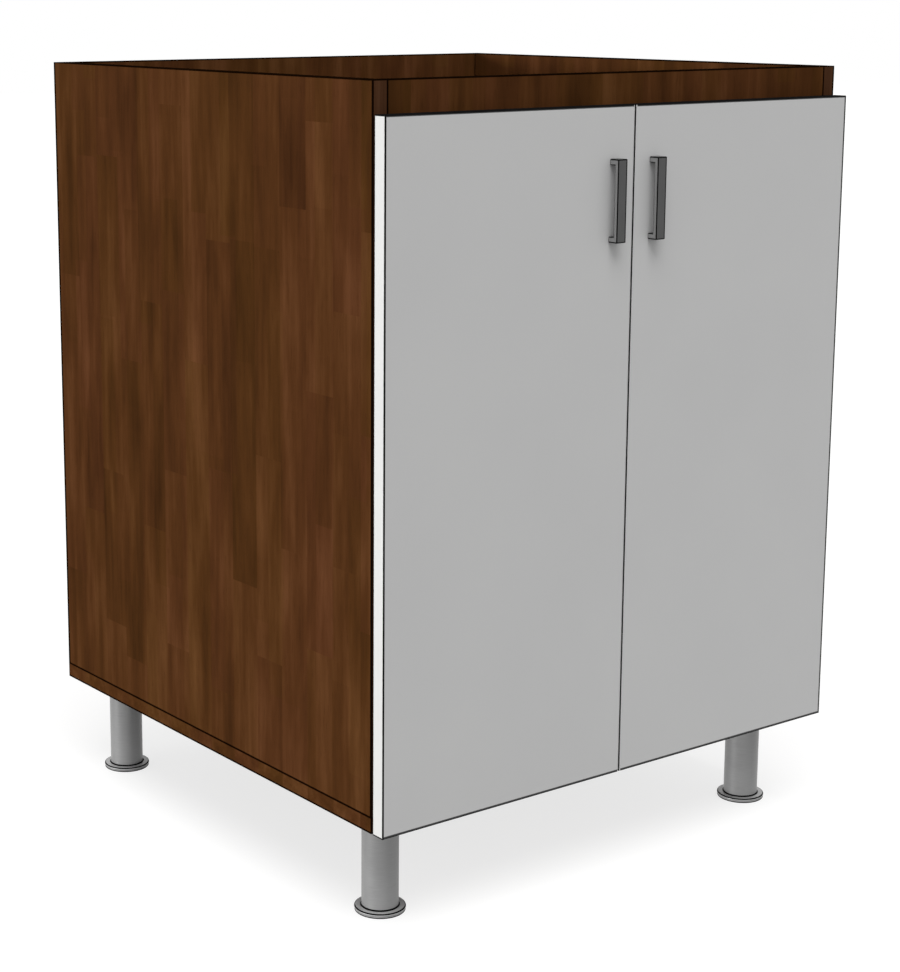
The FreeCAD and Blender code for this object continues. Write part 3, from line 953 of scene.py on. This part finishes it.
@dataclass
class Carcass:
    """Open-topped box of walnut-faced boards."""

    screw: CrossScrew = CrossScrew(5.0 * MM, 1.2 * MM)
    side_fixing: float = 0.292
    side_steps: tuple[float, ...] = (-0.200, 0.015, 0.230)
    back_fixing: float = 0.297
    back_steps: tuple[float, ...] = (-0.150, 0.150)
    underside: float = 0.105
    rear_line: float = 2.4 * MM
    outer_line: float = 1.2 * MM
    under_line: float = 0.8 * MM
    # Painted shade on the front rail, and painted light on the back panel, which lies in the
    # box's shade.
    rail_lift: float = -0.08
    back_lift: float = 0.1

    def dress_boards(self) -> None:
        """Give every board and band its wood."""
        for side in Side:
            node = f"side_panel_{side.word}"
            dress(node, WalnutBoard(*drawn_in(node, high=(0.0, self.rear_line, 0.0)),
                                    Grain.SIDE_UPRIGHT))
        # The rail and the back panel take painted shade and painted light on their tone.
        for node, grain, lift in (("bottom_panel", Grain.FLOOR_ACROSS, 0.0),
                                  ("front_rail", Grain.FRONT_UPRIGHT, self.rail_lift),
                                  ("back_panel", Grain.FRONT_UPRIGHT, self.back_lift)):
            dress(node, WalnutBoard(*corners(node), grain, lift=lift))
        for node in ("side_edge_band_left", "rail_edge_band"):
            dress(node, WalnutBand(*corners(node)))
        dress("side_edge_band_right",
              WalnutBand(*drawn_in("side_edge_band_right", high=(self.outer_line, 0.0, 0.0))))
        dress("bottom_edge_bands",
              WalnutBoard(*drawn_in("bottom_edge_bands", low=(0.0, 0.0, self.under_line)),
                          Grain.FLOOR_ACROSS, seal=0.0))

    def build_fixings(self) -> None:
        """Set the screws that come up through the bottom panel."""
        spots = [(side.value * self.side_fixing, y) for side in Side for y in self.side_steps]
        spots += [(x, self.back_fixing) for x in self.back_steps]
        self.screw.row("carcass_screws",
                       [facing((0, 0, -1), (x, y, self.underside)) for x, y in spots],
                       "carcass")


# ---- doors ---------------------------------------------------------------------


@dataclass
class Door:
    """One door with its white band, pull and buffers; the grey of its front is painted shade.
    """

    side: Side
    past_middle: float = 10 * MM
    under_line: float = 0.8 * MM
    outer_line: float = 0.8 * MM
    hinge_line: float = 0.6 * MM
    pull_centre: float = 0.026
    pull_height: float = 0.685
    face: float = -0.293
    back: float = -0.277
    pull_length: float = 80 * MM
    pull_width: float = 12 * MM
    pull_projection: float = 12 * MM
    pull_bar: float = 5 * MM
    pull_foot: float = 6 * MM
    pull_round: float = 0.9 * MM
    pull_line: float = 1.3 * MM
    screw: CrossScrew = CrossScrew(4 * MM, 1.8 * MM)
    screw_roll: float = 20

    @property
    def body(self) -> str:
        """Moving body of the door."""
        return f"door_{self.side.word}"

    @property
    def pull_x(self) -> float:
        """Middle of the pull in x."""
        return self.side.value * self.pull_centre

    def face_rim(self, node: str) -> tuple[Point, Point]:
        """Box for the rim line, carried past the middle so that none follows the gap.

        Args:
            node: Name of the board's solid.

        Returns:
            The lowest and highest corner of that box.
        """
        past, under = -self.past_middle, self.under_line
        if self.side is Side.LEFT:
            return drawn_in(node, low=(-self.hinge_line, 0.0, under), high=(past, 0.0, 0.0))
        return drawn_in(node, low=(past, 0.0, under), high=(self.outer_line, 0.0, 0.0))

    def dress_solids(self) -> None:
        """Give the door's solids their finishes."""
        word = self.side.word
        panel, band = f"door_panel_{word}", f"door_edge_band_{word}"
        dress(panel, DoorLaminate(*self.face_rim(panel)))
        dress(band, DoorBand(*corners(band)))
        dress(f"door_bumpers_{word}", BUFFER)

    def build_pull(self) -> None:
        """Build the flat-bar pull with softened edges."""
        tip, root = self.pull_length / 2, self.pull_length / 2 - self.pull_foot
        inner, outer = self.pull_projection - self.pull_bar, self.pull_projection
        shape = prism([(0, -tip), (outer, -tip), (outer, tip), (0, tip), (0, root),
                       (inner, root), (inner, -root), (0, -root)], self.pull_width)
        bmesh.ops.bevel(shape, geom=list(shape.edges), offset=self.pull_round,
                        segments=2, profile=0.5, affect="EDGES", material=1)
        place = Matrix(((0, 0, 1, self.pull_x), (-1, 0, 0, self.face),
                        (0, 1, 0, self.pull_height), (0, 0, 0, 1)))
        bmesh.ops.transform(shape, matrix=place, verts=shape.verts)
        name, half = f"pull_bar_{self.side.word}", self.pull_width / 2
        tall = tip - self.pull_line / 2
        rim = ((self.pull_x - half, self.face - outer, self.pull_height - tall),
               (self.pull_x + half - self.pull_line, self.face, self.pull_height + tall))
        pull = show(name, new_mesh(name, shape, smooth_below=20.0), self.body,
                    replace(PULL_COAT, rim=rim), PULL_EDGE)
        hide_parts(f"pull_{self.side.word}")

    def build_screws(self) -> None:
        """Set the pull's two screws in the back of the door."""
        reach = (self.pull_length - self.pull_foot) / 2
        places = [facing((0, 1, 0), (self.pull_x, self.back, self.pull_height + step),
                         self.screw_roll) for step in (-reach, reach)]
        self.screw.row(f"pull_screws_{self.side.word}", places, self.body)


# ---- hinges --------------------------------------------------------------------


@dataclass(frozen=True)
class HingeScrew:
    """One kind of screw on a hinge, with its place on the right side."""

    kind: str
    head: CrossScrew
    x: float
    y: float
    roll: float
    spread: float = 0.0
    on_door: bool = False


@dataclass
class Hinge:
    """Concealed cup hinge: cup in the door, arm and plate on the side panel."""

    side: Side
    level: Level
    heights: tuple[float, float] = (0.205, 0.675)
    screws: tuple[HingeScrew, ...] = (
        HingeScrew("cup_screws", CrossScrew(3.2 * MM, 1.6 * MM),
                   0.2737, -0.2762, 30, 24 * MM, on_door=True),
        HingeScrew("plate_screws", CrossScrew(3.8 * MM, 2.2 * MM),
                   0.282, -0.238, 25, 16 * MM),
        HingeScrew("clamp_screw", CrossScrew(4.5 * MM, 2.4 * MM),
                   0.272, -0.229, 12),
        HingeScrew("adjuster_screw", CrossScrew(3.4 * MM, 1.0 * MM),
                   0.272, -0.252, 40),
    )

    @property
    def z(self) -> float:
        """Height of the hinge."""
        return self.heights[0] if self.level is Level.LOWER else self.heights[1]

    @property
    def tag(self) -> str:
        """Ending of the names of the hinge's pieces."""
        return f"{self.side.word}_{self.level.value}"

    def dress_solids(self) -> None:
        """Give the arm and the plate their plating."""
        for kind in ("arm", "plate"):
            dress(f"hinge_{kind}_{self.tag}", HINGE_NICKEL)

    def build_screws(self) -> None:
        """Set the screws of the cup, the plate and the arm."""
        sign = self.side.value
        for screw in self.screws:
            body = f"door_{self.side.word}" if screw.on_door else "carcass"
            towards = (0, 1, 0) if screw.on_door else (-sign, 0, 0)
            steps = (-1, 1) if screw.spread else (1,)
            places = [facing(towards, (sign * screw.x, screw.y, self.z + step * screw.spread),
                             screw.roll * step) for step in steps]
            screw.head.row(f"{screw.kind}_{self.tag}", places, body)


# ---- legs ----------------------------------------------------------------------


@dataclass
class Leg:
    """Round steel leg with a fixing plate and a screwed levelling foot."""

    row: Row
    side: Side
    x: float = 0.252
    lines: tuple[float, float] = (-0.226, 0.260)
    top: float = 102.5 * MM
    tube_radius: float = 18.3 * MM
    tube_wall: float = 1.5 * MM
    tube_lip: float = 0.3 * MM
    foot_radius: float = 25.4 * MM
    foot_thickness: float = 5 * MM
    foot_gap: float = 0.2 * MM
    pad_thickness: float = 1.1 * MM
    pad_edge: float = 0.4 * MM
    disc_step: float = 0.7 * MM
    disc_round: float = 0.3
    groove: tuple[float, float] = (17.6 * MM, 19.5 * MM)
    groove_depth: float = 0.4 * MM
    edge_line: float = 1.1 * MM
    stem_radius: float = 5 * MM
    stem_length: float = 55 * MM
    thread_pitch: float = 1.5 * MM
    thread_depth: float = 0.7 * MM
    thread_sink: float = 0.2 * MM
    thread_segments: int = 24
    thread_rows: int = 6
    screw: CrossScrew = CrossScrew(3.0 * MM, 1.5 * MM, segments=20)
    screw_circle: float = 24.5 * MM
    screw_angles: tuple[float, ...] = (45, 135, 225, 315)
    screw_roll: float = 30

    @property
    def tag(self) -> str:
        """Ending of the names of the leg's pieces."""
        return f"{self.row.value}_{self.side.word}"

    @property
    def spot(self) -> Matrix:
        """Place of the leg on the floor."""
        y = self.lines[0] if self.row is Row.FRONT else self.lines[1]
        return Matrix.Translation((self.side.value * self.x, y, 0.0))

    def show_piece(self, kind: str, shape: Shape, body: str, finish: Finish,
                   trim: Finish | None = None) -> bpy.types.Object:
        """Move a shape to the leg's spot and show it as one of its pieces.

        Args:
            kind: Name of the piece without the leg's ending.
            shape: Shape built about the z axis.
            body: Moving body that it rides on.
            finish: Its finish.
            trim: Finish of its second material, where it has one.

        Returns:
            The new piece.
        """
        bmesh.ops.transform(shape, matrix=self.spot, verts=shape.verts)
        name = f"{kind}_{self.tag}"
        return show(name, new_mesh(name, shape), body, finish, trim)

    def build_tube(self) -> bpy.types.Object:
        """Build the tube with its lower end broken by a small chamfer.

        Returns:
            The tube.
        """
        low = self.foot_thickness + self.foot_gap
        outer, inner = self.tube_radius, self.tube_radius - self.tube_wall
        lip = self.tube_lip
        shape = lathe([(inner, low + lip), (inner + lip, low), (outer - lip, low),
                       (outer, low + lip), (outer, low + self.edge_line),
                       (outer, self.top), (inner, self.top)], ring=True)
        # Painted shade: the tube's lower end is dark where it stands over the disc.
        self.trim_below(shape, low + self.edge_line)
        return self.show_piece("leg_tube", shape, "carcass", LEG_STEEL, DARK_EDGE_AND_SHADE)

    @staticmethod
    def trim_below(shape: Shape, height: float, above: float = 0.0) -> None:
        """Give the faces of a band of heights the piece's second finish.

        Args:
            shape: Shape built about the z axis.
            height: Height that the faces stay under.
            above: Height that the faces stay over.
        """
        for face in shape.faces:
            middle = face.calc_center_median().z
            face.material_index = int(above < middle < height - SLACK)

    def build_foot(self) -> None:
        """Build the steel disc, its rubber pad and the threaded stem."""
        wide, high, pad = self.foot_radius, self.foot_thickness, self.pad_thickness
        lip, step, soft = self.edge_line, self.disc_step, self.pad_edge
        short = self.disc_round * lip
        (inner, outer), floor = self.groove, high - self.groove_depth
        disc = lathe([(0, pad), (wide - step, pad), (wide - step, pad + step),
                      (wide - lip, pad + step), (wide, pad + step + lip),
                      (wide, high - lip), (wide - short, high - short),
                      (wide - lip, high), (outer, high), (outer, floor),
                      (inner, floor), (inner, high), (0, high)])
        # The upper rim chamfer is a dark line; the groove round the tube's foot is painted
        # shade.
        self.trim_below(disc, high, above=high - lip)
        rubber = lathe([(0, 0), (wide - 2 * soft, 0), (wide - soft, soft),
                        (wide - soft, pad), (0, pad)])
        for kind, shape, finish, trim in (("foot_disc", disc, FOOT_STEEL, DARK_EDGE_AND_SHADE),
                                          ("foot_pad", rubber, FOOT_RUBBER, None),
                                          ("foot_stem", self.thread(), FITTING_STEEL, None)):
            piece = self.show_piece(kind, shape, f"foot_{self.tag}", finish, trim)
            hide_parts(f"leg_foot_{self.tag}")

    def thread(self) -> Shape:
        """Build the stem as one long screw thread.

        Returns:
            The stem about the z axis.
        """
        shape = bmesh.new()
        segments, rows_per_turn = self.thread_segments, self.thread_rows
        start = self.foot_thickness - self.thread_sink
        end = self.foot_thickness + self.stem_length
        count = round((end - start) / self.thread_pitch * rows_per_turn)
        rings = []
        for row in range(count + 1):
            z = start + (end - start) * row / count
            ring = []
            for step in range(segments):
                turn = step / segments
                phase = (row / rows_per_turn - turn) % 1
                radius = self.stem_radius - self.thread_depth * abs(2 * phase - 1)
                angle = 2 * math.pi * turn
                ring.append(shape.verts.new((radius * math.cos(angle),
                                             radius * math.sin(angle), z)))
            rings.append(ring)
        for below, above in zip(rings, rings[1:]):
            for step in range(segments):
                after = (step + 1) % segments
                shape.faces.new((below[step], below[after], above[after], above[step]))
        shape.faces.new(rings[0][::-1])
        shape.faces.new(rings[-1])
        return shape

    def build_screws(self) -> None:
        """Set the four screws of the fixing plate."""
        spot = self.spot.to_translation()
        places = []
        for step, degrees in enumerate(self.screw_angles):
            angle = math.radians(degrees)
            at = spot + Vector((math.cos(angle), math.sin(angle), 0)) * self.screw_circle
            places.append(facing((0, 0, -1), (at.x, at.y, self.top), self.screw_roll * step))
        self.screw.row(f"leg_plate_screws_{self.tag}", places, "carcass")


# ---- studio --------------------------------------------------------------------


@dataclass
class Studio:
    """White studio: floor, soft key light, even fill and the camera."""

    floor_size: float = 30.0
    floor_drop: float = 0.0002
    fill: float = 0.57
    key: Point = (-0.15, -0.25, 0.62)
    side_light: Point = (-0.41, 0.07, 0.0123)
    key_softness: float = 40.0
    side_softness: float = 3.0
    glow: float = 0.75
    speckle_scale: float = 400.0
    camera_place: Point = (-1.42422, -1.76884, 0.88082)
    azimuth: float = 36.20
    tilt: float = 10.915
    sight: float = 100.0
    focal_pixels: float = 2114.8
    centre_pixel: tuple[float, float] = (344.52, 399.24)

    def build_floor(self) -> None:
        """Lay the pale floor, which reads white and still takes a shadow."""
        shape = bmesh.new()
        half = self.floor_size / 2
        shape.faces.new([shape.verts.new((x * half, y * half, -self.floor_drop))
                         for x, y in ((-1, -1), (1, -1), (1, 1), (-1, 1))])
        floor = bpy.data.objects.new("floor", new_mesh("floor", shape))
        bpy.context.scene.collection.objects.link(floor)
        floor.data.materials.append(self.floor_material())

    def floor_material(self) -> Material:
        """Build the floor's finish.

        Returns:
            A matt floor that shows pale to the camera and in reflections.
        """
        sheet = NodeSheet("studio_floor")
        seen = self.seen_directly(sheet)
        speckle = sheet.noise(sheet.place["Object"], self.speckle_scale)
        matt = sheet.node("ShaderNodeBsdfDiffuse",
                          {"Color": sheet.ramp(speckle, FLOOR_GREY)})
        glow = sheet.node("ShaderNodeEmission",
                          {"Strength": sheet.math("MULTIPLY", seen, self.glow)})
        both = sheet.node("ShaderNodeAddShader", {0: matt.outputs[0], 1: glow.outputs[0]})
        output = sheet.tree.nodes["Material Output"]
        sheet.tree.links.new(both.outputs[0], output.inputs["Surface"])
        return sheet.material

    @staticmethod
    def seen_directly(sheet: NodeSheet) -> Socket:
        """Tell what the eye and mirrors see from what lights the cabinet.

        Args:
            sheet: Node sheet that asks.

        Returns:
            1 for rays from the camera, in reflections and through clear pieces.
        """
        path = sheet.node("ShaderNodeLightPath").outputs
        mirrored = sheet.math("MAXIMUM", path["Is Glossy Ray"], path["Is Transmission Ray"])
        return sheet.math("MAXIMUM", path["Is Camera Ray"], mirrored)

    def build_light(self) -> None:
        """Hang the key light and the low side light, and set the even fill."""
        lamps = (("key", self.key, self.key_softness),
                 ("side_light", self.side_light, self.side_softness))
        for name, share, softness in lamps:
            towards = Vector(share)
            lamp = bpy.data.lights.new(name, "SUN")
            lamp.energy = math.pi * towards.length
            lamp.angle = math.radians(softness)
            light = bpy.data.objects.new(name, lamp)
            light.rotation_euler = towards.to_track_quat("Z", "Y").to_euler()
            bpy.context.scene.collection.objects.link(light)
        WorldSheet(self).fill_world()

    def build_camera(self) -> None:
        """Stand the camera where the photograph was taken from."""
        lens = bpy.data.cameras.new("camera")
        long_side = max(IMAGE_WIDTH, IMAGE_HEIGHT)
        lens.sensor_width = SENSOR
        lens.lens = self.focal_pixels * SENSOR / long_side
        lens.shift_x = (IMAGE_WIDTH / 2 - self.centre_pixel[0]) / long_side
        lens.shift_y = (self.centre_pixel[1] - IMAGE_HEIGHT / 2) / long_side
        lens.clip_end = self.sight
        camera = bpy.data.objects.new("camera", lens)
        camera.location = self.camera_place
        camera.rotation_euler = (math.radians(90 - self.tilt), 0.0,
                                 -math.radians(self.azimuth))
        bpy.context.scene.collection.objects.link(camera)
        bpy.context.scene.camera = camera
        bpy.context.scene.view_settings.view_transform = "Standard"


class WorldSheet(NodeSheet):
    """Node sheet of the world round the cabinet."""

    def __init__(self, studio: Studio) -> None:
        """Start the world's nodes.

        Args:
            studio: Studio that the world belongs to.
        """
        self.world = bpy.data.worlds.new("studio")
        self.world.use_nodes = True
        self.tree = self.world.node_tree
        self.studio = studio
        bpy.context.scene.world = self.world

    def fill_world(self) -> None:
        """Light the cabinet evenly, in front of a white background."""
        seen = Studio.seen_directly(self)
        strength = self.math("MULTIPLY_ADD", seen, 1 - self.studio.fill, self.studio.fill)
        background = self.tree.nodes["Background"]
        self.feed(background.inputs["Color"], WHITE)
        self.feed(background.inputs["Strength"], strength)


# ---- cabinet -------------------------------------------------------------------


def main() -> None:
    """Build and dress every sub-assembly, then the studio round them."""
    logging.basicConfig(level=logging.INFO, format="%(name)s: %(message)s")

    carcass = Carcass()
    carcass.dress_boards()
    carcass.build_fixings()

    for side in Side:
        door = Door(side)
        door.dress_solids()
        door.build_pull()
        door.build_screws()
        dress(f"hinge_cups_{side.word}", HINGE_NICKEL)
        dress(f"hinge_pins_{side.word}", SCREW_ZINC)
        for level in Level:
            hinge = Hinge(side, level)
            hinge.dress_solids()
            hinge.build_screws()

    for row in Row:
        tubes = []
        for side in Side:
            leg = Leg(row, side)
            tubes.append(leg.build_tube())
            leg.build_foot()
            leg.build_screws()
        for tube in tubes:
            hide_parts(f"leg_tubes_{row.value}")
    dress("leg_plates", LEG_STEEL)
    dress("leg_nuts", FITTING_STEEL)

    studio = Studio()
    studio.build_floor()
    studio.build_light()
    studio.build_camera()


if __name__ == "__main__":
    main()
